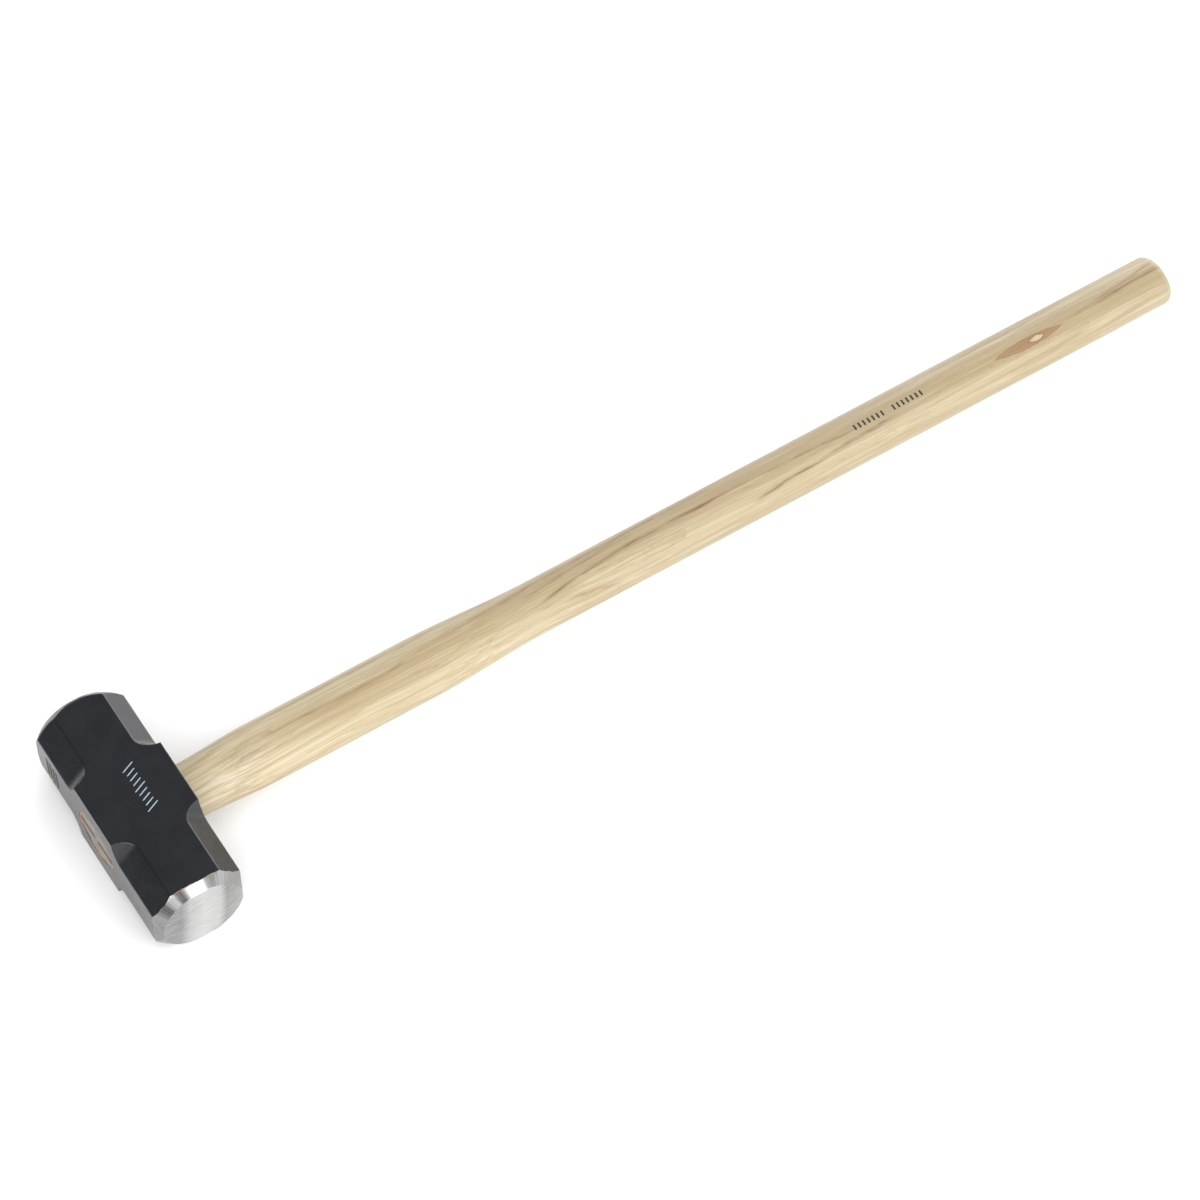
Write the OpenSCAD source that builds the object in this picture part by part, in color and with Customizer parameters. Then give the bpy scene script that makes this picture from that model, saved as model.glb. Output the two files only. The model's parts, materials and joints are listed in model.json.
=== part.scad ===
// Sledgehammer: an octagonal double-faced head on a long oval hickory handle.
// Frame: handle along +X, striking axis along Y, +Z up.
// The hammer lies on its lower cheek, and the origin is the centre of that cheek.

/* [Overall] */
// Length from the top of the head to the end of the grip
overall_l = 895; // [700:5:1100]

/* [Head] */
// Length of the head between the two striking faces
head_l = 180.8; // [150:0.1:220]
// Depth of the head along the handle
head_d = 67.6; // [60:0.1:82]
// Thickness of the head from cheek to cheek
head_t = 66; // [62:0.5:76]
// Width of a cheek between its two corner flats
cheek_w = 37.8; // [30:0.1:44]
// Width of the top and underside between their corner flats
top_w = 35.2; // [30:0.1:44]
// Length of the square block around the eye
block_l = 52; // [50:0.5:60]
// Radius of the curved shoulders where the corner flats begin
shoulder_r = 13; // [12:0.5:16]

/* [Striking faces] */
// Length of the ground bevel, along the head
bevel_l = 7.5; // [4:0.5:12]
// How far the near bevel leans in at each flat side
bevel_in = 3.1; // [1:0.1:6]
// How far the far bevel leans in at each flat side, where 0 leaves only its round cone
far_bevel_in = 0; // [0:0.1:6]
// Width of the crowned face across its corners
face_w = 61.6; // [56:0.2:66]
// Height of the crown above the bevel
crown_h = 2.4; // [1:0.1:4]

/* [Eye] */
// Width of the eye at the top of the head
eye_top = 46; // [42:0.5:48]
// Width of the eye at its waist
eye_waist = 42.6; // [40:0.2:44]
// Width of the eye at the underside
eye_under = 44; // [41:0.5:46]
// Thickness of the eye as a share of its width
eye_oval = 0.72; // [0.66:0.01:0.8]
// Thickness of the resin between wood and steel
resin_t = 0.7; // [0.4:0.1:1.2]
// Height of the resin bead around the handle under the head
bead_h = 1.2; // [0.5:0.1:2]

/* [Handle] */
// Width of the thick part behind the head
fore_w = 47.6; // [44:0.2:52]
// Thickness of the thick part as a share of its width
fore_oval = 0.75; // [0.7:0.01:0.85]
// Width of the grip where it begins
grip_w = 39.8; // [34:0.2:43]
// Width of the grip at its end
end_w = 40.8; // [34:0.2:44]
// Thickness of the grip as a share of its width
grip_oval = 0.8; // [0.72:0.01:0.9]
// Distance from the middle of the head to the end of the thick part
fore_end = 222; // [180:1:260]
// Distance from the middle of the head to the start of the grip
grip_start = 320; // [290:1:400]
// Length of the domed end
dome_l = 8; // [4:0.5:12]

/* [Wedges] */
// Thickness of the wooden wedge at its head
wood_t = 6; // [4:0.5:8]
// Length of the wooden wedge
wood_l = 46; // [35:1:50]
// Thickness of the steel wedge at its head
steel_t = 3.6; // [2.5:0.1:5]
// Width of the steel wedge
steel_w = 22; // [16:1:25]
// Length of the steel wedge
steel_l = 26; // [20:1:32]

/* [Hidden] */
$fn = 96;

glue = 0.05;            // gap left between pieces that touch
flush = 0.4;            // how far the driven pieces sit below the top of the head
past = 10;              // how far a cutter reaches past what it cuts

head_x = head_d / 2;    // the top of the head is at -head_x, the underside at +head_x
head_z = head_t / 2;
flat_x = cheek_w / 2;
flat_z = top_w / 2;
bevel_y = head_l / 2 - crown_h - bevel_l;   // where the bevel begins
face_y = bevel_y + bevel_l;                 // where the crown begins
face_r = face_w / 2;
crown_r = (pow(face_r, 2) + pow(crown_h, 2)) / (2 * crown_h);
corner_r = norm([head_x, flat_z]) + glue;   // the bevel's cone just clears the corners here

// Corner flats: their angle, their distance from the middle and the depth cut away
flat_angle = atan2(head_x - flat_x, head_z - flat_z);
flat_dist = head_x * cos(flat_angle) + flat_z * sin(flat_angle);
cut_depth = head_x * cos(flat_angle) + head_z * sin(flat_angle) - flat_dist;
shoulder_y = block_l / 2 + sqrt(pow(shoulder_r, 2) - pow(shoulder_r - cut_depth, 2));

driven_x = flush - head_x;          // the outer ends of the handle and the wedges
handle_end = overall_l - head_x;
dome_x = handle_end - dome_l;
fore_x = head_x + 61;               // where the thick part begins
sides = 48;                         // flats around each oval
curve_n = 10;                       // rings along each swelling of the handle
dome_n = 7;                         // rings around the domed end
dome_fill = 0.55;                   // below 1, the dome stays full towards its rim
dome_last = 85;                     // angle of the last ring, which leaves a small flat
barb_h = 0.35;                      // depth of the grooves that grip the wood
barb_n = 4;
wedge_tip = 0.25;                   // thickness of a wedge's tip as a share of its head

function mix(a, b, t) = a + (b - a) * t;
function ease(t) = t * t * (3 - 2 * t);
function spread(a, b, n) = [for (i = [0 : n - 1]) mix(a, b, i / n)];

// Width and thickness share of the eye at x
function eye_w(x) = mix(eye_waist, x < 0 ? eye_top : eye_under, abs(x) / head_x);

// A section is [x, half width, half thickness]. This one follows the eye, smaller by inset
function eye_section(x, inset) =
    [x, eye_w(x) / 2 - inset, eye_w(x) * eye_oval / 2 - inset];

// How far the handle has gone from its neck to its thick part, and from there to its grip
function swell(x) = ease(min(max((x - head_x) / (fore_x - head_x), 0), 1));
function waste(x) = ease(min(max((x - fore_end) / (grip_start - fore_end), 0), 1));

// Section of the handle behind the head, larger by grow
function shaft_section(x, grow) =
    let (
        neck = eye_section(head_x, resin_t),
        grip = mix(grip_w, end_w, max(x - grip_start, 0) / (dome_x - grip_start)) / 2,
        fore = fore_w / 2,
        half_w = mix(mix(neck[1], fore, swell(x)), grip, waste(x)),
        half_t = mix(mix(neck[2], fore * fore_oval, swell(x)), grip * grip_oval, waste(x))
    )
    [x, half_w + grow, half_t + grow];

// Section of the dome at an angle from its rim
function dome_section(a) =
    [dome_x + dome_l * sin(a), end_w / 2 * pow(cos(a), dome_fill),
        end_w / 2 * grip_oval * pow(cos(a), dome_fill)];

shaft_x = concat(
    spread(head_x, fore_x, curve_n),
    spread(fore_x, fore_end, 2),
    spread(fore_end, grip_start, curve_n),
    spread(grip_start, dome_x, 3)
);
handle_sections = concat(
    [for (x = [driven_x, 0]) eye_section(x, resin_t)],
    [for (x = shaft_x) shaft_section(x, 0)],
    [for (i = [0 : dome_n]) dome_section(dome_last * i / dome_n)]
);

// A closed body through a list of oval sections
module loft(sections) {
    n = len(sections);
    points = [for (s = sections, i = [0 : sides - 1])
        [s[0], s[1] * cos(360 * i / sides), head_z + s[2] * sin(360 * i / sides)]];
    walls = [for (k = [0 : n - 2], i = [0 : sides - 1])
        let (j = (i + 1) % sides, near = k * sides, far = near + sides)
        each [[near + i, far + i, near + j], [near + j, far + i, far + j]]];
    first = [for (i = [0 : sides - 1]) i];
    last = [for (i = [sides - 1 : -1 : 0]) (n - 1) * sides + i];
    polyhedron(points, concat([first], walls, [last]));
}

// A body that follows the eye from x0 to x1, smaller all round by inset
module eye_loft(inset, x0, x1) {
    loft([for (x = [x0, 0, x1]) eye_section(x, inset)]);
}

// A wedge profile along X: thick at the driven end, thin at the tip, wider by gap
module wedge_outline(thick, length, gap) {
    half = thick / 2 + gap;
    tip = thick * wedge_tip / 2 + gap;
    polygon([
        [driven_x, -half],
        [driven_x + length + gap, -tip],
        [driven_x + length + gap, tip],
        [driven_x, half]
    ]);
}

// Removes one long corner outside the block, with a curved shoulder
module corner_cut() {
    rotate([0, -flat_angle, 0])
        translate([flat_dist, 0, 0])
            linear_extrude(height = head_t, center = true) {
                translate([0, shoulder_y])
                    square([head_d, head_l]);
                translate([shoulder_r, shoulder_y])
                    circle(r = shoulder_r);
            }
}

// The two bevels seen from one side: half is the flat side's distance from the middle
module bevel_outline(half) {
    tip_y = face_y + past;
    near_tip = half - bevel_in * (bevel_l + past) / bevel_l;
    far_tip = half - far_bevel_in * (bevel_l + past) / bevel_l;
    polygon([
        [far_tip, tip_y],
        [half, bevel_y],
        [half, -bevel_y],
        [near_tip, -tip_y],
        [-near_tip, -tip_y],
        [-half, -bevel_y],
        [-half, bevel_y],
        [-far_tip, tip_y]
    ]);
}

// Two cones along Y, base to base, that round the bevel off at the corners. They are
// widest at the middle of the head, so that they stay clear of the block
module corner_cone() {
    drop = (corner_r - face_r) / bevel_l;
    tip_y = face_y + past;
    rotate([-90, 0, 0])
        rotate_extrude()
            polygon([
                [0, -tip_y],
                [face_r - drop * past, -tip_y],
                [face_r + drop * face_y, 0],
                [face_r - drop * past, tip_y],
                [0, tip_y]
            ]);
}

// The steel bar with its eight corner flats, before the ends are ground
module forged_bar() {
    difference() {
        cube([head_d, head_l + past, head_t], center = true);
        for (mx = [0, 1], my = [0, 1], mz = [0, 1])
            mirror([mx, 0, 0])
                mirror([0, my, 0])
                    mirror([0, 0, mz])
                        corner_cut();
    }
}

// The head before its eye is made: the bar ground to its bevels and crowned faces
module ground_bar() {
    intersection() {
        forged_bar();
        linear_extrude(height = head_t + past, center = true)
            bevel_outline(head_x);
        rotate([0, -90, 0])
            linear_extrude(height = head_d + past, center = true)
                bevel_outline(head_z);
        corner_cone();
        translate([0, head_l / 2 - crown_r, 0])
            sphere(r = crown_r);
        translate([0, crown_r - head_l / 2, 0])
            sphere(r = crown_r);
    }
}

module head() {
    color("dimgray")
        difference() {
            translate([0, 0, head_z])
                ground_bar();
            eye_loft(0, -head_x - past, head_x + past);
        }
}

// The tapered plate that the wooden wedge is cut from, wider than any handle
module wood_plate(gap) {
    translate([0, 0, head_z])
        rotate([90, 0, 0])
            linear_extrude(height = head_l, center = true)
                wedge_outline(wood_t, wood_l, gap);
}

// The tapered plate of the steel wedge, which crosses the wooden one
module steel_plate(gap) {
    translate([0, 0, head_z])
        linear_extrude(height = steel_w + 2 * gap, center = true)
            wedge_outline(steel_t, steel_l, gap);
}

module handle() {
    color("burlywood")
        difference() {
            loft(handle_sections);
            wood_plate(glue);
            steel_plate(glue);
        }
}

module wooden_wedge() {
    color("sienna")
        difference() {
            intersection() {
                eye_loft(resin_t, driven_x, head_x);
                wood_plate(0);
            }
            steel_plate(glue);
        }
}

module steel_wedge() {
    color("silver")
        difference() {
            steel_plate(0);
            for (i = [1 : barb_n], s = [-1, 1]) {
                along = i / (barb_n + 1);
                half = steel_t / 2 * mix(1, wedge_tip, along);
                translate([driven_x + steel_l * along, s * half, head_z])
                    cylinder(r = barb_h, h = steel_w + past, center = true);
            }
        }
}

// The bead of resin squeezed out around the handle under the head
module resin_bead() {
    x0 = head_x + glue;
    rim = eye_section(head_x, 0);
    loft([
        [x0, rim[1] + bead_h, rim[2] + bead_h],
        [x0 + bead_h, rim[1], rim[2]]
    ]);
}

module resin_bond() {
    bore_end = head_x + bead_h + past;
    color("goldenrod")
        difference() {
            union() {
                eye_loft(glue, driven_x, head_x + 2 * glue);
                resin_bead();
            }
            loft([
                eye_section(driven_x - past, resin_t - glue),
                eye_section(0, resin_t - glue),
                shaft_section(head_x, glue),
                shaft_section(head_x + bead_h / 2, glue),
                shaft_section(head_x + bead_h, glue),
                shaft_section(bore_end, glue)
            ]);
        }
}

head();
handle();
wooden_wedge();
steel_wedge();
resin_bond();
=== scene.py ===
"""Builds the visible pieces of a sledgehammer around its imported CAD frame.

The handle runs along +X, the striking axis along Y, +Z is up, and the hammer lies on its
lower cheek. Every length is in metres.
"""

import json
import math

import bmesh
import bpy
import numpy as np
from bpy.props import FloatProperty, FloatVectorProperty, IntProperty, PointerProperty
from bpy.types import Operator, Panel, PropertyGroup
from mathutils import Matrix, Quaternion, Vector

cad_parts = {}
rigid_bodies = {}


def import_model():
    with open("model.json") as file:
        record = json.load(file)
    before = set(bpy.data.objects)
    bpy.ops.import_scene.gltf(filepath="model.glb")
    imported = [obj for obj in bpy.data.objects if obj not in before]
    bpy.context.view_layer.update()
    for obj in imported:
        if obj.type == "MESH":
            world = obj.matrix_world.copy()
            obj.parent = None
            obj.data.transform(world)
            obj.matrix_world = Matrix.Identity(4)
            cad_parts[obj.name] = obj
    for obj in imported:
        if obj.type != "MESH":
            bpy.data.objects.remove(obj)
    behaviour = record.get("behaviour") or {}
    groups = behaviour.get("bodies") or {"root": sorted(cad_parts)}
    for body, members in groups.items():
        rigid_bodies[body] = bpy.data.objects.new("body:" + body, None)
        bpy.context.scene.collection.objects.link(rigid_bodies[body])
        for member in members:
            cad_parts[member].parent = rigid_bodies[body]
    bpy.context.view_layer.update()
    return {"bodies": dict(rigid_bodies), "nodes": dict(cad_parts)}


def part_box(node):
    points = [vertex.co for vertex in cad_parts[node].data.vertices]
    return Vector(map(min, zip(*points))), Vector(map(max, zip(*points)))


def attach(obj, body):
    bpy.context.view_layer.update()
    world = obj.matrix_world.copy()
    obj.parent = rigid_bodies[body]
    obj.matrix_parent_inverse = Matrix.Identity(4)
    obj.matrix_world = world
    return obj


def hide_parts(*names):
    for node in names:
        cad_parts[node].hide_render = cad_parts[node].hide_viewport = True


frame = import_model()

bl_info = {
    "name": "Sledgehammer",
    "version": (1, 0, 0),
    "blender": (4, 5, 0),
    "location": "3D View > Sidebar > Sledgehammer",
    "description": "Builds a sledgehammer's visible pieces around its CAD frame",
    "category": "Object",
}

MM = 0.001
BODY = next(iter(frame["bodies"]))

HEAD_LOW, HEAD_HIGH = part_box("head")
HANDLE_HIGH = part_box("handle")[1]
HALF_DEPTH = HEAD_HIGH.x             # the underside of the head; its top is at -HALF_DEPTH
HALF_LENGTH = HEAD_HIGH.y            # the middle of a striking face
HALF_THICK = HEAD_HIGH.z / 2         # the cheeks lie this far from the middle
MIDDLE = (HEAD_LOW.z + HEAD_HIGH.z) / 2


def linear(hex_colour):
    """Linear RGBA of an sRGB hex colour."""
    part = np.array([int(hex_colour[i : i + 2], 16) for i in (1, 3, 5)]) / 255
    value = np.where(part <= 0.04045, part / 12.92, ((part + 0.055) / 1.055) ** 2.4)
    return (*value.tolist(), 1.0)


def length(name, description, default):
    """A length that a user may change, in metres."""
    return FloatProperty(name=name, description=description, default=default, unit="LENGTH", precision=5)


def number(name, description, default, **settings):
    """A plain number that a user may change, or an angle where settings give its unit."""
    return FloatProperty(name=name, description=description, default=default, **settings)


def count(name, description, default):
    """A number of things that a user may change, at least one."""
    return IntProperty(name=name, description=description, default=default, min=1)


def colour(name, description, default):
    """A colour that a user may change, from an sRGB hex value."""
    return FloatVectorProperty(
        name=name, description=description, default=linear(default), size=4, subtype="COLOR", min=0, max=1
    )


# ---------------------------------------------------------------- what a user may change


class HeadSizes(PropertyGroup):
    cheek_width: length("Cheek width", "Width of a cheek between its corner flats", 37.8 * MM)
    top_width: length("Top width", "Width of the top and underside between corner flats", 35.2 * MM)
    block: length("Block length", "Length of the square block around the eye", 52 * MM)
    shoulder: length("Shoulder radius", "Radius of the shoulders where corner flats begin", 13 * MM)
    bevel: length("Bevel length", "Length of the ground bevel along the head", 7.5 * MM)
    bevel_in: length("Bevel lean", "How far the near bevel leans in at each flat side", 3.1 * MM)
    far_bevel_in: length("Far bevel lean", "How far the far bevel leans in, where 0 leaves its cone", 0.0)
    face_width: length("Face width", "Width of the crowned face across its corners", 61.6 * MM)
    crown: length("Crown height", "Height of the crown above the bevel", 2.4 * MM)
    edge: length("Edge rounding", "Width of the rounding of the forged edges", 0.8 * MM)
    block_edge: length("Block edge", "Depth worn off the sharp corners of the block", 0.3 * MM)
    rim: length("Rim rounding", "Width over which the shoulders turn into the block", 0.4 * MM)
    ground_edge: length("Ground edge", "Width of the rounding of the ground edges", 0.35 * MM)
    far_edge: length("Far edge", "Width of the rounding at the painted far end", 1.2 * MM)
    paint_lap: length("Paint lap", "How far the paint laps over the far face's edge", 1.5 * MM)


class EyeSizes(PropertyGroup):
    top: length("Top", "Width of the eye at the top of the head", 46 * MM)
    waist: length("Waist", "Width of the eye at its waist", 42.6 * MM)
    under: length("Underside", "Width of the eye at the underside", 44 * MM)
    oval: number("Oval", "Thickness of the eye as a share of its width", 0.72)
    chamfer: length("Chamfer", "Chamfer around the eye's rims", 0.6 * MM)
    resin: length("Resin", "Thickness of the resin between wood and steel", 0.7 * MM)
    bead: length("Bead", "Height of the resin bead under the head", 1.2 * MM)
    gap: length("Bond gap", "Gap left between the resin and what it bonds", 0.05 * MM)
    sunk: length("Sunk", "How far the driven ends lie below the top", 0.4 * MM)


class HandleSizes(PropertyGroup):
    fore_width: length("Fore width", "Width of the thick part", 47.6 * MM)
    fore_oval: number("Fore oval", "Thickness share of the thick part", 0.75)
    fore_start: length("Fore start", "Where the thick part begins", HALF_DEPTH + 61 * MM)
    fore_end: length("Fore end", "Where the thick part ends", 222 * MM)
    grip_start: length("Grip start", "Where the grip begins", 320 * MM)
    grip_width: length("Grip width", "Width of the grip where it begins", 39.8 * MM)
    end_width: length("End width", "Width of the grip at its end", 40.8 * MM)
    grip_oval: number("Grip oval", "Thickness share of the grip", 0.8)
    dome: length("Dome", "Length of the domed end", 8 * MM)
    knot: length("Knot", "Where the knot lies along the handle", 740 * MM)
    knot_side: length("Knot side", "Where the knot lies across the handle", -5.3 * MM)


class WedgeSizes(PropertyGroup):
    wood_thick: length("Wood", "Thickness of the wooden wedge at its head", 6 * MM)
    wood_length: length("Wood length", "Length of the wooden wedge", 46 * MM)
    steel_thick: length("Steel", "Thickness of the steel wedge at its head", 3.6 * MM)
    steel_width: length("Steel width", "Width of the steel wedge", 22 * MM)
    steel_length: length("Steel length", "Length of the steel wedge", 26 * MM)
    gap: length("Gap", "Gap left between a wedge and its slot", 0.05 * MM)


class MarkSizes(PropertyGroup):
    strokes: count("Strokes", "Slanted strokes on the upper cheek", 9)
    stroke_length: length("Stroke length", "Length of a slanted stroke", 8 * MM)
    stroke_width: length("Stroke width", "Width of a slanted stroke", 0.8 * MM)
    stroke_pitch: length("Stroke pitch", "Distance between slanted strokes", 4.4 * MM)
    stroke_slant: number("Stroke slant", "Slant of the strokes", math.radians(24), unit="ROTATION")
    strokes_x: length("Strokes along", "Middle of the strokes along the handle", 5 * MM)
    strokes_y: length("Strokes across", "Middle of the strokes across the handle", 3 * MM)
    bars: count("Bars", "Bars in each group on the handle", 7)
    bar_length: length("Bar length", "Length of a bar across the handle", 4.6 * MM)
    bar_width: length("Bar width", "Width of a bar", 1.5 * MM)
    bar_pitch: length("Bar pitch", "Distance between bars", 3.95 * MM)
    bar_space: number("Bar space", "Space between the two groups, in pitches", 1.5)
    bars_x: length("Bars along", "Middle of the bars along the handle", 616 * MM)
    bars_y: length("Bars across", "Middle of the bars across the handle", -0.8 * MM)
    blocks: count("Blocks", "Bars on the top of the head, near the far end", 4)
    block_length: length("Block length", "Length of a bar on the top of the head", 20 * MM)
    block_width: length("Block width", "Width of a bar on the top of the head", 2.8 * MM)
    block_pitch: length("Block pitch", "Distance between bars on the top of the head", 4.4 * MM)
    blocks_y: length("Blocks across", "Middle of the top's bars along the head", 62 * MM)
    blocks_z: length("Blocks up", "Middle of the top's bars above the head's middle", -1.5 * MM)
    ink: length("Ink", "Thickness of the printed ink", 0.08 * MM)


class Finishes(PropertyGroup):
    enamel: colour("Enamel", "Black paint on the head", "#0E1014")
    bare_steel: colour("Ground steel", "Bare ground faces", "#E0E0DF")
    primer: colour("Primer", "Tan primer that shows where paint has chipped", "#8E6C50")
    sapwood: colour("Sapwood", "Pale wood between the rings", "#B8AB8E")
    latewood: colour("Late wood", "Tan wood of the rings", "#988768")
    heartwood: colour("Heartwood", "Tan band along the handle", "#9A8560")
    vein: colour("Veins", "Brown lines that border the heartwood", "#6F5134")
    pore: colour("Pores", "Dark pores and flecks", "#5D4D37")
    scuffed: colour("Scuffs", "Whitish scuffs near the head", "#BFB5A2")
    end_grain: colour("End grain", "Grey sawn end in the eye", "#7C7466")
    knot: colour("Knot", "Orange-brown wood around the knot's heart", "#866340")
    knot_heart: colour("Knot heart", "Pale heart of the knot", "#B8A184")
    wedge_wood: colour("Wedge wood", "Bare hardwood of the wooden wedge", "#5E4430")
    wedge_steel: colour("Wedge steel", "Mild steel of the cross wedge", "#8C8C8A")
    resin: colour("Resin", "Set amber resin", "#B27C48")
    pale_ink: colour("Pale ink", "Strokes on the cheek", "#96A8B2")
    dark_ink: colour("Dark ink", "Bars on the handle", "#2B2723")
    floor: colour("Floor", "Plain pale floor", "#F6F6F6")


class StageSettings(PropertyGroup):
    azimuth: number("Azimuth", "Camera's turn about Z", math.radians(-33.51), unit="ROTATION")
    elevation: number("Elevation", "Camera's height angle", math.radians(58.41), unit="ROTATION")
    roll: number("Roll", "Camera's turn about its own axis", math.radians(-1.42), unit="ROTATION")
    distance: length("Distance", "From the aim point to the camera", 3.09)
    aim_x: length("Aim along", "Aim point along the handle", 0.3597)
    aim_y: length("Aim across", "Aim point across the handle", -0.01895)
    lens: number("Lens", "Focal length in millimetres", 131.66, subtype="DISTANCE_CAMERA")
    sky: number("Sky", "Strength of the light from straight above", 0.24)
    rim_light: number("Rim light", "Strength of the light from the horizon", 1.75)
    shade: number("Shade", "How much darker the far left of the room is", 0.85)
    left_box: number("Left box", "Power of the softbox at the left in watts", 32.0)
    rear_box: number("Rear box", "Power of the low softbox behind in watts", 26.0)
    softbox: number("Softbox", "Power of the main softbox in watts", 62.0)


class SledgehammerSettings(PropertyGroup):
    head: PointerProperty(type=HeadSizes)
    eye: PointerProperty(type=EyeSizes)
    handle: PointerProperty(type=HandleSizes)
    wedges: PointerProperty(type=WedgeSizes)
    marks: PointerProperty(type=MarkSizes)
    finishes: PointerProperty(type=Finishes)
    stage: PointerProperty(type=StageSettings)


# ---------------------------------------------------------------- mesh helpers


def mix(a, b, t):
    """The value a share t of the way from a to b."""
    return a + (b - a) * t


def ease(t):
    """Zero to one with level ends: t squared times (3 - 2 t)."""
    t = np.clip(t, 0, 1)
    return t * t * (3 - 2 * t)


def soft_least(a, b, width):
    """The smaller of a and b. Within width of each other, (width - |a - b|)^2 / (4 width) is taken off."""
    near = np.clip(width - np.abs(a - b), 0, None)
    return np.minimum(a, b) - near**2 / (4 * width)


def soft_past(value, width):
    """The value where it is above zero, else nothing: half of (value + root of (value^2 + width^2))."""
    return (value + np.sqrt(value**2 + width**2)) / 2


def bend(start, corner, end, t):
    """A point on the curve that leaves start towards corner and arrives at end: a quadratic Bezier."""
    return (1 - t) ** 2 * start + 2 * t * (1 - t) * corner + t**2 * end


def add_piece(name, points, faces, material):
    """A smooth mesh object at the origin, its faces turned outwards."""
    mesh = bpy.data.meshes.new(name)
    mesh.from_pydata(np.reshape(points, (-1, 3)).tolist(), [], faces)
    bm = bmesh.new()
    bm.from_mesh(mesh)
    bmesh.ops.recalc_face_normals(bm, faces=bm.faces)
    bm.to_mesh(mesh)
    bm.free()
    mesh.shade_smooth()
    mesh.materials.append(material)
    piece = bpy.data.objects.new(name, mesh)
    bpy.context.scene.collection.objects.link(piece)
    return piece


def ring_faces(rings, columns, closed=False):
    """Quads between rings of points; closed joins the last ring to the first."""
    ring = np.arange(rings if closed else rings - 1)[:, None]
    column = np.arange(columns)[None, :]
    here, there = ring * columns, (ring + 1) % rings * columns
    after = (column + 1) % columns
    quads = np.stack([here + column, here + after, there + after, there + column], -1)
    return quads.reshape(-1, 4).tolist()


def loft_piece(name, rings, material):
    """A closed body through rings of points, each end closed by a fan to the middle of its ring."""
    count, columns = rings.shape[:2]
    poles = rings[[0, -1]].mean(1)
    points = np.concatenate([rings.reshape(-1, 3), poles])
    column = np.arange(columns)
    after = (column + 1) % columns
    last = (count - 1) * columns
    first_fan = np.stack([column, np.full(columns, count * columns), after], -1)
    last_fan = np.stack([last + column, last + after, np.full(columns, count * columns + 1)], -1)
    faces = ring_faces(count, columns) + first_fan.tolist() + last_fan.tolist()
    return add_piece(name, points, faces, material)


def oval_rings(x, half_width, half_thick, columns):
    """Rings across X: width times the cosine along Y, thickness times the sine along Z."""
    turn = np.linspace(0, 2 * np.pi, columns, endpoint=False)
    sizes = (x, half_width, half_thick)
    x, half_width, half_thick = (np.broadcast_to(size, np.shape(x))[:, None] for size in sizes)
    return np.stack(
        [x + 0 * turn, half_width * np.cos(turn), MIDDLE + half_thick * np.sin(turn)], -1
    )


def cut(piece, cutter):
    """Takes the cutter's shape out of the piece for good and removes the cutter."""
    boolean = piece.modifiers.new("cut", "BOOLEAN")
    boolean.operation = "DIFFERENCE"
    boolean.solver = "EXACT"
    boolean.object = cutter
    graph = bpy.context.evaluated_depsgraph_get()
    mesh = bpy.data.meshes.new_from_object(piece.evaluated_get(graph))
    piece.modifiers.clear()
    piece.data = mesh
    bpy.data.objects.remove(cutter)


def finish_piece(piece, node_names):
    """Puts a piece on the hammer: what it rides on and what it stands for."""
    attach(piece, BODY)
    if node_names:
        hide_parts(*node_names)


# ---------------------------------------------------------------- the head's surface


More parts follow.
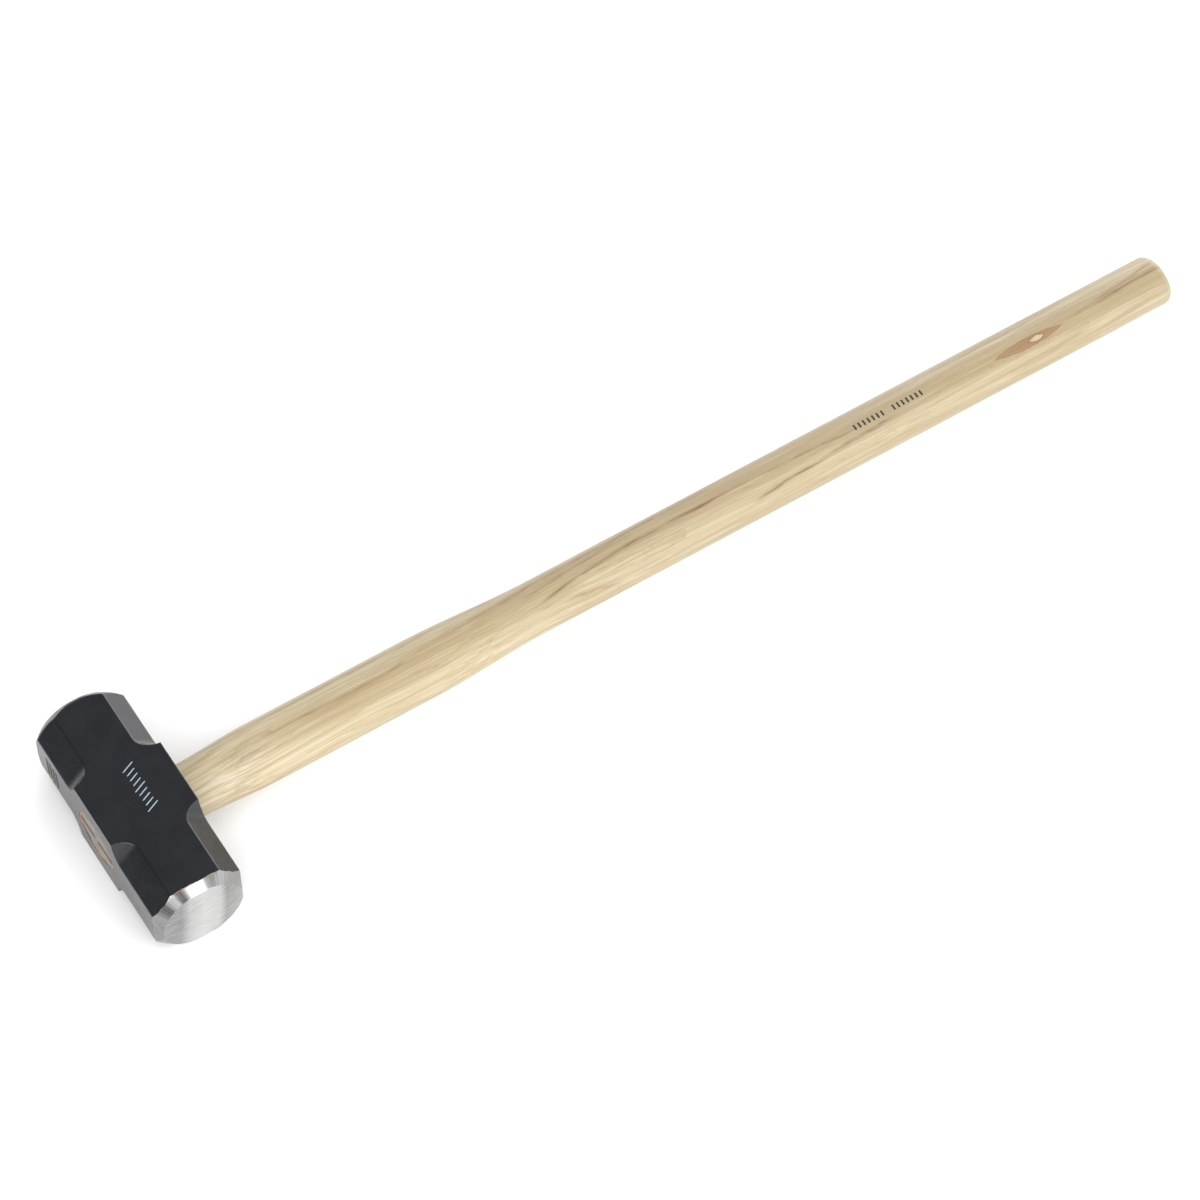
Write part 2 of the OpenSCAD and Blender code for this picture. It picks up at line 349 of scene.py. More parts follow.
class HeadSurface:
    """The forged bar: flats, corner flats with round shoulders, and ground ends."""

    def __init__(self, sizes):
        self.s = sizes
        flat_x, flat_z = sizes.cheek_width / 2, sizes.top_width / 2
        self.tilt = math.atan2(HALF_DEPTH - flat_x, HALF_THICK - flat_z)
        self.cos, self.sin = math.cos(self.tilt), math.sin(self.tilt)
        self.flat = HALF_DEPTH * self.cos + flat_z * self.sin
        depth = HALF_DEPTH * self.cos + HALF_THICK * self.sin - self.flat
        run = math.sqrt(sizes.shoulder**2 - (sizes.shoulder - depth) ** 2)
        self.shoulder_y = sizes.block / 2 + run
        self.face_y = HALF_LENGTH - sizes.crown
        self.bevel_y = self.face_y - sizes.bevel
        self.face_r = sizes.face_width / 2
        self.near_end = (sizes.ground_edge, sizes.bevel_in / sizes.bevel)
        self.far_end = (sizes.far_edge, sizes.far_bevel_in / sizes.bevel)
        self.drop = (math.hypot(HALF_DEPTH, flat_z) - self.face_r) / sizes.bevel
        self.crown_r = (self.face_r**2 + sizes.crown**2) / (2 * sizes.crown)
        self.share = self.column_shares()

    def crown_y(self, radius):
        """Height of the crown's sphere at a distance from the striking axis."""
        return HALF_LENGTH - self.crown_r + np.sqrt(self.crown_r**2 - radius**2)

    @staticmethod
    def column_shares():
        """For each column of a quarter outline: which stretch it is on, and its share of that stretch."""
        flat = np.append(np.linspace(0, 1, 7)[:-1], [0.97, 1.0])
        turn = np.linspace(0, 1, 7)[1:-1]
        corner = np.concatenate([[0, 0.04], np.linspace(0, 1, 9)[1:-1], [0.96, 1]])
        parts = [flat, turn, corner, turn, 1 - flat[::-1]]
        stretch = np.concatenate([np.full(len(p), i) for i, p in enumerate(parts)])
        return stretch, np.concatenate(parts)

    def quarter(self, y, near, lean):
        """One quarter of the outline at y, from the underside's middle to the cheek's middle.

        The outline is the flat side, the corner and the cheek. The corner is the nearer of the corner
        flat and the bevel's cone, and the flat rises along an arc into the block at the shoulder. near is
        the width over which the ground surfaces blend, and lean is how far the bevel's planes lean in for
        each metre. Where the cone is nearer than a flat side, the side shrinks to a short chord of it.
        """
        s = self.s
        beyond = soft_past(y - self.bevel_y, near)
        cone = self.face_r + self.drop * (self.face_y - y)
        side = soft_least(HALF_DEPTH - lean * beyond, 0.99 * cone, near)
        cheek = soft_least(HALF_THICK - lean * beyond, 0.99 * cone, near)
        run = np.clip(self.shoulder_y - y, 0, s.shoulder)
        notch = self.flat + s.shoulder - np.sqrt(s.shoulder**2 - run**2)
        block = side * self.cos + cheek * self.sin - s.block_edge
        flat = soft_least(notch, block, s.rim)
        side_end = soft_least((flat - side * self.cos) / self.sin, np.sqrt(cone**2 - side**2), near)
        cheek_end = soft_least((flat - cheek * self.sin) / self.cos, np.sqrt(cone**2 - cheek**2), near)
        first, last = np.arctan2(side_end, side), np.arctan2(cheek, cheek_end)
        span = np.hypot(side - cheek_end, cheek - side_end)
        turn = np.minimum(s.edge, 0.42 * span)
        margin = turn / span

        def corner(t):
            angle = mix(first, last, t)
            radius = soft_least(cone, flat / np.cos(angle - self.tilt), near)
            return np.stack([radius * np.cos(angle), radius * np.sin(angle)], -1)

        stretch, t = self.share
        t = np.broadcast_to(t, y.shape)
        pick = t[..., None]
        side_turn = np.stack([side, side_end - turn], -1)
        cheek_turn = np.stack([cheek_end - turn, cheek], -1)
        choices = [
            np.stack([side, (side_end - turn) * t], -1),
            bend(side_turn, np.stack([side, side_end], -1), corner(margin), pick),
            corner(mix(margin, 1 - margin, t)),
            bend(corner(1 - margin), np.stack([cheek_end, cheek], -1), cheek_turn, pick),
            np.stack([(cheek_end - turn) * (1 - t), cheek], -1),
        ]
        stretch = np.broadcast_to(stretch, y.shape)[..., None]
        return np.select([stretch == i for i in range(len(choices))], choices)

    def edge_quarter(self, near, lean):
        """The quarter outline where the bevel meets the crown, and its y, found by settling the two."""
        y = np.full((1, len(self.share[0])), self.face_y)
        for _ in range(4):
            y = self.crown_y(np.hypot(*np.moveaxis(self.quarter(y, near, lean), -1, 0)))
        return self.quarter(y, near, lean), y

    def half(self, near, lean):
        """Rings of one quarter from the middle of the head to the middle of a face."""
        s = self.s
        edge, edge_y = self.edge_quarter(near, lean)
        around = np.linspace(math.pi / 2, 0, 30)
        crease = max(1.2 * MM, min(1.5 * near, 0.8 * s.bevel))
        stations = np.concatenate([
            np.linspace(0, self.shoulder_y - s.shoulder - 1 * MM, 9),
            self.shoulder_y - s.shoulder * np.sin(around),
            np.linspace(self.shoulder_y, self.bevel_y - crease, 16)[1:-1],
            self.bevel_y + np.linspace(-crease, crease, 15),
        ])
        columns = np.ones_like(edge_y)
        last_y = edge_y - s.ground_edge
        bevel_share = np.linspace(0, 1, 10)[1:, None]
        y = np.concatenate([stations[:, None] * columns, mix(self.bevel_y + crease, last_y, bevel_share)])
        body = self.place(self.quarter(y, near, lean), y)
        radius = np.hypot(*np.moveaxis(edge, -1, 0))
        rim = 1 - s.ground_edge / self.face_r
        shrink = np.concatenate([[rim, rim - 0.01], np.linspace(0.96, 0.04, 16)])[:, None]
        crown = self.place(edge * shrink[..., None], self.crown_y(radius * shrink))
        turn = np.linspace(0, 1, 6)[1:-1, None, None]
        rounded = bend(body[-1:], self.place(edge, edge_y), crown[:1], turn)
        return np.concatenate([body, rounded, crown])

    @staticmethod
    def place(outline, y):
        """Points of an outline at y."""
        return np.stack([outline[..., 0], y, outline[..., 1]], -1)

    def rings(self):
        """Whole rings from one face to the other: a quarter mirrored across the three middle planes."""
        flips = np.array([[1, 1, 1], [-1, 1, 1], [-1, 1, -1], [1, 1, -1]])
        halves = []
        for end in (self.near_end, self.far_end):
            quarter = self.half(*end)
            back = quarter[:, ::-1]
            quarters = [quarter, back[:, 1:], quarter[:, 1:], back[:, 1:-1]]
            halves.append(np.concatenate([part * flip for part, flip in zip(quarters, flips)], 1))
        front, back = halves
        return np.concatenate([front[:0:-1] * np.array([1, -1, 1]), back]) + np.array([0, 0, MIDDLE])

    def write_wear(self, mesh):
        """Stores how far each point lies past the edge of the paint, and how far inside the face's edge.

        Near the front face the paint ends where grinding began: where the bar first meets a bevel plane
        or the cone. At the far end the paint laps a little over the edge of the face. Both are in metres.
        """
        co = np.empty(len(mesh.vertices) * 3, np.float32)
        mesh.vertices.foreach_get("co", co)
        x, y, z = co.reshape(-1, 3).T
        z = z - MIDDLE
        radius = np.hypot(x, z)
        angle = np.arctan2(np.abs(z), np.abs(x))
        least = 1e-6
        cos, sin = np.maximum(np.cos(angle), least), np.maximum(np.sin(angle), least)
        corner = self.flat / np.cos(angle - self.tilt)
        forged = np.minimum(np.minimum(HALF_DEPTH / cos, HALF_THICK / sin), corner)
        ground = [
            self.bevel_y + (HALF_DEPTH - forged * cos) / self.near_end[1],
            self.bevel_y + (HALF_THICK - forged * sin) / self.near_end[1],
            self.face_y - (forged - self.face_r) / self.drop,
        ]
        edges = [
            np.interp(angle, np.arctan2(edge[0, :, 1], edge[0, :, 0]), np.hypot(edge[0, :, 0], edge[0, :, 1]))
            for edge, _ in (self.edge_quarter(*self.near_end), self.edge_quarter(*self.far_end))
        ]
        inside = np.where(y < 0, *edges) - radius
        past = np.where(y < 0, np.abs(y) - np.min(ground, 0), inside - self.s.paint_lap)
        painted = np.abs(y) < self.bevel_y - self.s.bevel / 2
        values = {
            "past_paint": np.where(painted, -self.s.bevel, past),
            "inside_face": np.where(painted, -1.0, inside),
        }
        for name, value in values.items():
            mesh.attributes.new(name, "FLOAT", "POINT").data.foreach_set("value", value.astype(np.float32))


# ---------------------------------------------------------------- the handle's surface


def eye_half(x, eye):
    """Half width of the eye at x: straight from each rim to its waist."""
    rim = np.where(x < 0, eye.top, eye.under)
    return mix(eye.waist, rim, np.abs(x) / HALF_DEPTH) / 2


def shaft_halves(x, eye, handle):
    """Half width and half thickness of the handle behind the head.

    They ease from the neck to the thick part, from there to the grip, and then run straight to the end.
    """
    neck = eye_half(HALF_DEPTH, eye)
    dome_x = HANDLE_HIGH.x - handle.dome
    swell = ease((x - HALF_DEPTH) / (handle.fore_start - HALF_DEPTH))
    waste = ease((x - handle.fore_end) / (handle.grip_start - handle.fore_end))
    share = np.clip((x - handle.grip_start) / (dome_x - handle.grip_start), 0, None)
    grip = mix(handle.grip_width, handle.end_width, share) / 2
    fore = handle.fore_width / 2
    half_width = mix(mix(neck - eye.resin, fore, swell), grip, waste)
    half_thick = mix(
        mix(neck * eye.oval - eye.resin, fore * handle.fore_oval, swell), grip * handle.grip_oval, waste
    )
    return half_width, half_thick


def handle_rings(eye, handle):
    """Rings from the driven end to the middle of the domed end.

    The dome's radius is a share r of the end's, and its length goes with the root of (1 - r^3.64),
    which keeps it full towards its rim.
    """
    driven_x = eye.sunk - HALF_DEPTH
    dome_x = HANDLE_HIGH.x - handle.dome
    tenon_x = np.linspace(driven_x, HALF_DEPTH, 12)[:-1]
    tenon = eye_half(tenon_x, eye)
    shaft_x = np.linspace(HALF_DEPTH, dome_x, 190)
    shaft = shaft_halves(shaft_x, eye, handle)
    share = np.sin(np.linspace(math.pi / 2, 0, 26)[1:-1])
    dome = handle.end_width / 2 * share
    x = np.concatenate([tenon_x, shaft_x, dome_x + handle.dome * np.sqrt(1 - share**3.64)])
    half_width = np.concatenate([tenon - eye.resin, shaft[0], dome])
    half_thick = np.concatenate([tenon * eye.oval - eye.resin, shaft[1], dome * handle.grip_oval])
    return oval_rings(x, half_width, half_thick, 112)


# Each vein on the upper side of the handle: its two ends along and across it, how far it bows between
# them, and how dark it is. Lengths are in millimetres
VEINS = (
    (90, 1, 215, 0, -1, 0.5),
    (195, 0, 480, 12.5, 4, 0.6),
    (306, -9, 480, 0.5, 5, 0.8),
    (306, -9, 385, -17.5, -1, 0.6),
    (488, -14, 624, -6.5, 0.3, 0.85),
    (300, 0, 410, 9, 1.5, 0.5),
    (425, 1, 600, -3, 2, 0.6),
    (590, 12, 780, 11, -0.6, 0.4),
    (788, -4.5, 880, 0.5, 1, 0.7),
    (766, -4, 868, 8, -1, 0.45),
    (204, -10, 246, -16.5, 1.5, 0.45),
    (45, 16.5, 300, 16, -1, 0.35),
    (47, -8.5, 60, -13, 1, 0.9),
    (58, -7, 114, -8, 0.5, 0.55),
    (370, 9, 398, 13, -1, 0.7),
)
VEIN_GROUPS = len(VEINS) // 3


def write_grain(mesh):
    """Stores on the handle where its heartwood, scuffs and veins lie, as smooth values at its points.

    The heartwood is a band about 16 mm wide whose middle eases from side to side along the handle. A vein
    is the signed distance across the handle to its bowed line, y = mix(start, end, t) + 4 bow t (1 - t),
    with a strength that fades at its ends and on the lower side. Three veins share one vector.
    """
    co = np.empty(len(mesh.vertices) * 3, np.float32)
    mesh.vertices.foreach_get("co", co)
    x, y, z = co.reshape(-1, 3).T / MM
    upper = ease((z - MIDDLE / MM) / 6 + 0.5)
    middle = -6 + 12 * ease((x - 190) / 200) - 9 * ease((x - 520) / 220)
    heart = np.exp(-(((y - middle) / 9.5) ** 4)) * ease((x - 40) / 120)
    scuffs = ease((150 - x) / 90) * np.exp(-(((y + 12) / 6) ** 2)) * upper
    values = {"heart_share": heart * upper, "scuff_share": scuffs, "grip_share": 0.38 * ease((x - 60) / 400)}
    for name, value in values.items():
        mesh.attributes.new(name, "FLOAT", "POINT").data.foreach_set("value", value.astype(np.float32))
    x0, y0, x1, y1, bow, dark = (part[:, None] for part in np.array(VEINS).T)
    share = (x - x0) / (x1 - x0)
    away = (y - mix(y0, y1, share) - 4 * bow * share * (1 - share)) * MM
    strength = dark * ease((x - x0) / 20) * ease((x1 - x) / 20) * upper * ease((HANDLE_HIGH.x / MM - x) / 8)
    for kind, value in (("away", away), ("share", strength)):
        for group in range(VEIN_GROUPS):
            vectors = value[3 * group : 3 * group + 3].T.astype(np.float32)
            layer = mesh.attributes.new(f"vein_{kind}_{group}", "FLOAT_VECTOR", "POINT")
            layer.data.foreach_set("vector", np.ascontiguousarray(vectors).reshape(-1))


def wedge_plate(name, thick, wide, long, eye, across, material):
    """A tapered plate from the driven end: a quarter as thick at its tip. across is the axis of its width."""
    start = eye.sunk - HALF_DEPTH - 2 * MM
    reach = np.array([start, eye.sunk - HALF_DEPTH + long])
    half = np.array([thick, thick / 4])[:, None] / 2 * np.array([-1, 1, 1, -1])
    side = np.array([-1, -1, 1, 1]) * wide / 2 + 0 * half
    x = reach[:, None] + 0 * half
    parts = [x, side, MIDDLE + half] if across == "Y" else [x, half, MIDDLE + side]
    return loft_piece(name, np.stack(parts, -1), material)


# ---------------------------------------------------------------- finishes


def add(tree, kind, inputs=None, stops=None, **settings):
    """Adds one shader node, its kind given without the prefix ShaderNode.

    inputs are values or other nodes' outputs, and stops are a ramp's (place, colour).
    """
    node = tree.nodes.new("ShaderNode" + kind)
    for key, value in settings.items():
        setattr(node, key, value)
    for key, value in (inputs or {}).items():
        if isinstance(value, bpy.types.NodeSocket):
            tree.links.new(value, node.inputs[key])
        else:
            node.inputs[key].default_value = value
    if stops:
        ramp = node.color_ramp.elements
        while len(ramp) < len(stops):
            ramp.new(0.5)
        for element, (place, value) in zip(ramp, stops):
            element.position = place
            element.color = value if hasattr(value, "__len__") else (value, value, value, 1)
    return node


def new_material(name, **shader):
    """A material with one Principled shader, whose constants are set on its own sockets."""
    material = bpy.data.materials.new(name)
    material.use_nodes = True
    principled = material.node_tree.nodes["Principled BSDF"]
    for key, value in shader.items():
        principled.inputs[key.replace("_", " ")].default_value = value
    return material, material.node_tree, principled


def painted_forging(colours):
    """Semi-gloss black enamel brushed on forged steel, with linished bare faces.

    The paint gives a soft dark sheen over a slightly wavy forging. Past the edge of the paint the steel is
    bright: its near bevels carry coarse grinding marks along their slope, its faces fine slanted ones. Its
    colour also holds painted reflections: bright and dark stripes around the near bevel and upright bands
    across the faces.
    """
    material, tree, shader = new_material("painted_forged_steel", IOR=1.5)
    place = add(tree, "TexCoord").outputs["Object"]
    centred = add(tree, "Mapping", {"Vector": place, "Location": (0, 0, -MIDDLE)}).outputs[0]
    past = add(tree, "Attribute", attribute_name="past_paint").outputs["Fac"]
    inside = add(tree, "Attribute", attribute_name="inside_face").outputs["Fac"]

    # The paint's edge wanders by 0.1 mm. It has a few chips, about 5 mm long, down to the primer
    ragged = add(tree, "TexNoise", {"Vector": place, "Scale": 420, "Detail": 3}).outputs[0]
    chips = add(tree, "TexNoise", {"Vector": place, "Scale": 95, "Detail": 3}).outputs[0]
    chips = add(
        tree, "MapRange", {"Value": chips, "From Min": 0.42, "From Max": 0.6, "To Max": 0.9 * MM}
    ).outputs[0]
    wander = add(tree, "MapRange", {"Value": ragged, "To Min": -0.1 * MM, "To Max": 0.1 * MM}).outputs[0]
    reach = add(tree, "Math", {0: past, 1: wander}, operation="ADD").outputs[0]
    chipped = add(tree, "Math", {0: reach, 1: chips}, operation="ADD").outputs[0]
    bare = add(tree, "MapRange", {"Value": reach, "From Max": 0.08 * MM}).outputs[0]
    lost = add(tree, "MapRange", {"Value": chipped, "From Max": 0.1 * MM}).outputs[0]

    # Bevel: stripes of painted reflection down the slope, from bright to dark around the rim and brightest at
    # the cheeks' middles, with fine marks 0.6 mm wide. The ramp runs from the underside's middle at 0, over
    # the cheek's at 0.5, to the top's at 1
    split = add(tree, "SeparateXYZ", {0: centred}).outputs
    angle = add(tree, "Math", {0: split["Z"], 1: split["X"]}, operation="ARCTAN2").outputs[0]
    turned = add(tree, "Math", {0: angle}, operation="ABSOLUTE").outputs[0]
    turned = add(tree, "MapRange", {"Value": turned, "From Max": math.pi}).outputs[0]
    bevel_reflection = add(tree, "ValToRGB", {0: turned}, stops=[
        (0.0, 0.22), (0.2, 0.27), (0.33, 0.24), (0.39, 0.14), (0.43, 0.22), (0.465, 0.95),
        (0.555, 0.9), (0.58, 0.3), (0.605, 0.03), (0.635, 0.05), (0.66, 0.42), (0.695, 0.34),
        (0.735, 0.05), (0.775, 0.07), (0.82, 0.27), (1.0, 0.2),
    ]).outputs[0]
    fine = add(tree, "TexNoise", {"W": angle, "Scale": 60, "Detail": 3}, noise_dimensions="1D").outputs[0]

    # Face: belt marks about 0.8 mm wide and 12 mm long, slanting across, over three upright bands of painted
    # reflection, a bright middle band between two darker ones
    slanted = add(
        tree, "Mapping", {"Vector": centred, "Rotation": (0, math.radians(-27), 0), "Scale": (80, 1, 900)}
    ).outputs[0]
    belt = add(tree, "TexNoise", {"Vector": slanted, "Scale": 1, "Detail": 4, "Roughness": 0.6}).outputs[0]
    upright = add(tree, "Mapping", {"Vector": centred, "Rotation": (0, math.radians(-5), 0)}).outputs[0]
    across = add(tree, "SeparateXYZ", {0: upright}).outputs["X"]
    across = add(
        tree, "MapRange", {"Value": across, "From Min": -HALF_DEPTH, "From Max": HALF_DEPTH}
    ).outputs[0]
    face_reflection = add(tree, "ValToRGB", {0: across}, stops=[
        (0.0, 0.3), (0.24, 0.26), (0.34, 0.5), (0.5, 0.6),
        (0.68, 0.52), (0.76, 0.26), (0.86, 0.3), (1.0, 0.4),
    ]).outputs[0]
    on_face = add(
        tree, "MapRange", {"Value": inside, "From Min": -0.2 * MM, "From Max": 0.1 * MM}
    ).outputs[0]
    # Painted reflections: the bevel's stripes outside the face's edge and the face's bands inside it
    reflection_and_marks = add(tree, "Mix", {0: on_face, 2: bevel_reflection, 3: face_reflection}).outputs[0]
    marks = add(tree, "Mix", {0: on_face, 2: fine, 3: belt}).outputs[0]
    swing = add(
        tree, "MapRange", {"Value": marks, "From Min": 0.3, "From Max": 0.7, "To Min": -0.12, "To Max": 0.12}
    ).outputs[0]
    reflection_and_marks = add(tree, "Math", {0: reflection_and_marks, 1: swing}, operation="ADD", use_clamp=True).outputs[0]

    # The steel's colour carries the painted reflections and the grinding marks, from 0.08 of the ground
    # steel's tint up to the full tint
    steel = add(
        tree, "ValToRGB", {0: reflection_and_marks},
        stops=[(0.0, [0.08 * c for c in colours.bare_steel[:3]] + [1]), (1.0, colours.bare_steel)],
    ).outputs[0]
    dull = add(tree, "TexNoise", {"Vector": place, "Scale": 45, "Detail": 5, "Roughness": 0.6}).outputs[0]
    paint = add(
        tree, "ValToRGB", {0: dull},
        stops=[(0.3, colours.enamel), (0.75, [1.6 * c for c in colours.enamel[:3]] + [1])],
    ).outputs[0]
    paint = add(tree, "Mix", {0: lost, 6: paint, 7: colours.primer}, data_type="RGBA").outputs[2]
    base = add(tree, "Mix", {0: bare, 6: paint, 7: steel}, data_type="RGBA").outputs[2]

    paint_rough = add(tree, "MapRange", {"Value": dull, "To Min": 0.2, "To Max": 0.34}).outputs[0]
    steel_rough = add(tree, "MapRange", {"Value": marks, "To Min": 0.38, "To Max": 0.24}).outputs[0]
    rough = add(tree, "Mix", {0: bare, 2: paint_rough, 3: steel_rough}).outputs[0]

    # The forging waves over about 20 mm, and the paint has an orange peel of about 1.5 mm
    wave = add(tree, "TexNoise", {"Vector": place, "Scale": 50, "Detail": 2}).outputs[0]
    peel = add(tree, "TexNoise", {"Vector": place, "Scale": 700, "Detail": 1}).outputs[0]
    painted = add(tree, "Math", {0: 1.0, 1: bare}, operation="SUBTRACT").outputs[0]
    peel_share = add(tree, "Math", {0: painted, 1: 0.25}, operation="MULTIPLY").outputs[0]
    mark_share = add(tree, "Math", {0: bare, 1: 0.6}, operation="MULTIPLY").outputs[0]
    waved = add(tree, "Bump", {"Strength": 0.25, "Distance": 0.4 * MM, "Height": wave}).outputs[0]
    peeled = add(
        tree, "Bump", {"Strength": peel_share, "Distance": 0.03 * MM, "Height": peel, "Normal": waved}
    ).outputs[0]
    marked = add(
        tree, "Bump", {"Strength": mark_share, "Distance": 0.06 * MM, "Height": marks, "Normal": peeled}
    ).outputs[0]
    tree.links.new(base, shader.inputs["Base Color"])
    tree.links.new(bare, shader.inputs["Metallic"])
    tree.links.new(rough, shader.inputs["Roughness"])
    tree.links.new(marked, shader.inputs["Normal"])
    return material


def lacquered_hickory(colours, handle):
    """Clear-lacquered hickory, turned and sanded.

    Pale sapwood with a tan heartwood band along the grip, bordered by thin brown veins. Fine straight fibres
    and short pores run along it, and a small knot with a pale heart lies near the end.
    """
    material, tree, shader = new_material(
        "lacquered_hickory", IOR=1.5, Specular_IOR_Level=0.4, Coat_Weight=0.12, Coat_Roughness=0.3
    )
    place = add(tree, "TexCoord").outputs["Object"]
    shares = {
        name: add(tree, "Attribute", attribute_name=name).outputs["Fac"]
        for name in ("heart_share", "scuff_share", "grip_share")
    }

    # The knot: an almond 64 mm long around a pale heart 13 mm long, with a dark outline
    half_thick = shaft_halves(np.array([handle.knot]), bpy.context.scene.sledgehammer.eye, handle)[1]
    top = MIDDLE + float(half_thick[0])
    ragged = add(tree, "TexNoise", {"Vector": place, "Scale": 260, "Detail": 3}).outputs[1]
    ragged = add(tree, "VectorMath", {0: ragged, 1: (0.5, 0.5, 0.5)}, operation="SUBTRACT").outputs[0]
    ragged = add(tree, "VectorMath", {0: ragged, 1: (4 * MM, 2 * MM, 0)}, operation="MULTIPLY").outputs[0]
    rough_place = add(tree, "VectorMath", {0: place, 1: ragged}, operation="ADD").outputs[0]
    lenses = []
    for along, half_long, half_wide in ((-3 * MM, 32 * MM, 4.2 * MM), (4 * MM, 6.5 * MM, 2 * MM)):
        centre = (handle.knot + along, handle.knot_side, top)
        offset = add(tree, "VectorMath", {0: rough_place, 1: centre}, operation="SUBTRACT").outputs[0]
        offset = add(
            tree, "VectorMath", {0: offset, 1: (1 / half_long, 1 / half_wide, 100)}, operation="MULTIPLY"
        ).outputs[0]
        parts = add(tree, "SeparateXYZ", {0: offset}).outputs
        bow = add(tree, "Math", {0: parts["X"], 1: parts["X"]}, operation="MULTIPLY").outputs[0]
        wide = add(tree, "Math", {0: parts["Y"]}, operation="ABSOLUTE").outputs[0]
        lens = add(tree, "Math", {0: bow, 1: wide}, operation="ADD").outputs[0]
        deep = add(tree, "Math", {0: parts["Z"]}, operation="ABSOLUTE").outputs[0]
        lenses.append(add(tree, "Math", {0: lens, 1: deep}, operation="MAXIMUM").outputs[0])
    almond, heart = lenses

    # Rings: distance from a pith below the handle, wandering slowly by about 6 mm
    slow = add(tree, "Mapping", {"Vector": place, "Scale": (5, 38, 38)}).outputs[0]
    slow = add(tree, "TexNoise", {"Vector": slow, "Scale": 1, "Detail": 2, "Roughness": 0.4}).outputs[1]
    slow = add(tree, "VectorMath", {0: slow, 1: (0.5, 0.5, 0.5)}, operation="SUBTRACT").outputs[0]
    slow = add(tree, "VectorMath", {0: slow, 1: (0, 12 * MM, 12 * MM)}, operation="MULTIPLY").outputs[0]
    bent = add(tree, "VectorMath", {0: place, 1: slow}, operation="ADD").outputs[0]
    rings = add(
        tree, "Mapping",
        {
            "Vector": bent,
            "Location": (0, -6 * MM, 18 * MM),
            "Rotation": (0, math.radians(0.9), math.radians(-0.6)),
        },
    ).outputs[0]
    ring_pitch = 2.6 * MM
    rings = add(
        tree, "TexWave",
        {
            "Vector": rings,
            "Scale": 2 * math.pi / (20 * ring_pitch),
            "Distortion": 0.6,
            "Detail": 2,
            "Detail Scale": 1,
        },
        wave_type="RINGS", rings_direction="X", wave_profile="SAW",
    ).outputs["Fac"]

    # Fibres 1 mm wide and 110 mm long, streaks 3 mm wide and 110 mm long, pores 0.6 mm wide and 7 mm long
    grains = []
    for stretch, detail in (((9, 1000, 1000), 4), ((9, 330, 330), 3), ((150, 1700, 1700), 2)):
        grain = add(tree, "Mapping", {"Vector": bent, "Scale": stretch}).outputs[0]
        grain = add(tree, "TexNoise", {"Vector": grain, "Scale": 1, "Detail": detail, "Roughness": 0.6})
        grains.append(grain.outputs[0])
    fibre, streak, pores = grains

    ring_share = add(
        tree, "MapRange", {"Value": rings, "From Min": 0.25, "From Max": 0.0, "To Max": 0.6}
    ).outputs[0]
    wood = add(
        tree, "Mix", {0: ring_share, 6: colours.sapwood, 7: colours.latewood}, data_type="RGBA"
    ).outputs[2]
    heart_share = add(
        tree, "MapRange", {"Value": streak, "From Min": 0.3, "From Max": 0.62, "To Min": 0.45, "To Max": 1.0}
    ).outputs[0]
    heart_share = add(
        tree, "Math", {0: heart_share, 1: shares["heart_share"]}, operation="MULTIPLY"
    ).outputs[0]
    wood = add(tree, "Mix", {0: heart_share, 6: wood, 7: colours.heartwood}, data_type="RGBA").outputs[2]
    streak_share = add(
        tree, "MapRange", {"Value": streak, "From Min": 0.46, "From Max": 0.72, "To Max": 0.9}
    ).outputs[0]
    wood = add(tree, "Mix", {0: streak_share, 6: wood, 7: colours.latewood}, data_type="RGBA").outputs[2]
    fibre_share = add(
        tree, "MapRange", {"Value": fibre, "From Min": 0.4, "From Max": 0.7, "To Max": 0.8}
    ).outputs[0]
    wood = add(tree, "Mix", {0: fibre_share, 6: wood, 7: colours.latewood}, data_type="RGBA").outputs[2]
    wood = add(
        tree, "Mix", {0: shares["grip_share"], 6: wood, 7: colours.latewood}, data_type="RGBA"
    ).outputs[2]

    pale = add(
        tree, "MapRange", {"Value": fibre, "From Min": 0.46, "From Max": 0.3, "To Max": 0.42}
    ).outputs[0]
    wood = add(tree, "Mix", {0: pale, 6: wood, 7: colours.scuffed}, data_type="RGBA").outputs[2]

    # Veins: darkest on their line and gone 2.6 mm from it, wandering by 1 mm and broken along it
    loose = add(tree, "Mapping", {"Vector": place, "Scale": (35, 160, 160)}).outputs[0]
    loose = add(tree, "TexNoise", {"Vector": loose, "Scale": 1, "Detail": 4, "Roughness": 0.6}).outputs[0]
    wander = {"From Min": 0.25, "From Max": 0.75, "To Min": -1 * MM, "To Max": 1 * MM}
    loose = add(tree, "MapRange", {"Value": loose, **wander}).outputs[0]
    patches = add(tree, "Mapping", {"Vector": place, "Scale": (45, 130, 130)}).outputs[0]
    patches = add(tree, "TexNoise", {"Vector": patches, "Scale": 1, "Detail": 3, "Roughness": 0.6}).outputs[0]
    broken = add(
        tree, "MapRange", {"Value": patches, "From Min": 0.36, "From Max": 0.6, "To Min": 0.25, "To Max": 1.1}
    ).outputs[0]
    vein_reach = (2.6 * MM,) * 3
    for group in range(VEIN_GROUPS):
        away = add(tree, "Attribute", attribute_name=f"vein_away_{group}").outputs["Vector"]
        strength = add(tree, "Attribute", attribute_name=f"vein_share_{group}").outputs["Vector"]
        away = add(tree, "VectorMath", {0: away, 1: loose}, operation="ADD").outputs[0]
        away = add(tree, "VectorMath", {0: away}, operation="ABSOLUTE").outputs[0]
        line = add(
            tree, "MapRange",
            {6: away, 7: (0, 0, 0), 8: vein_reach, 9: (1, 1, 1), 10: (0, 0, 0)},
            data_type="FLOAT_VECTOR",
        ).outputs[1]
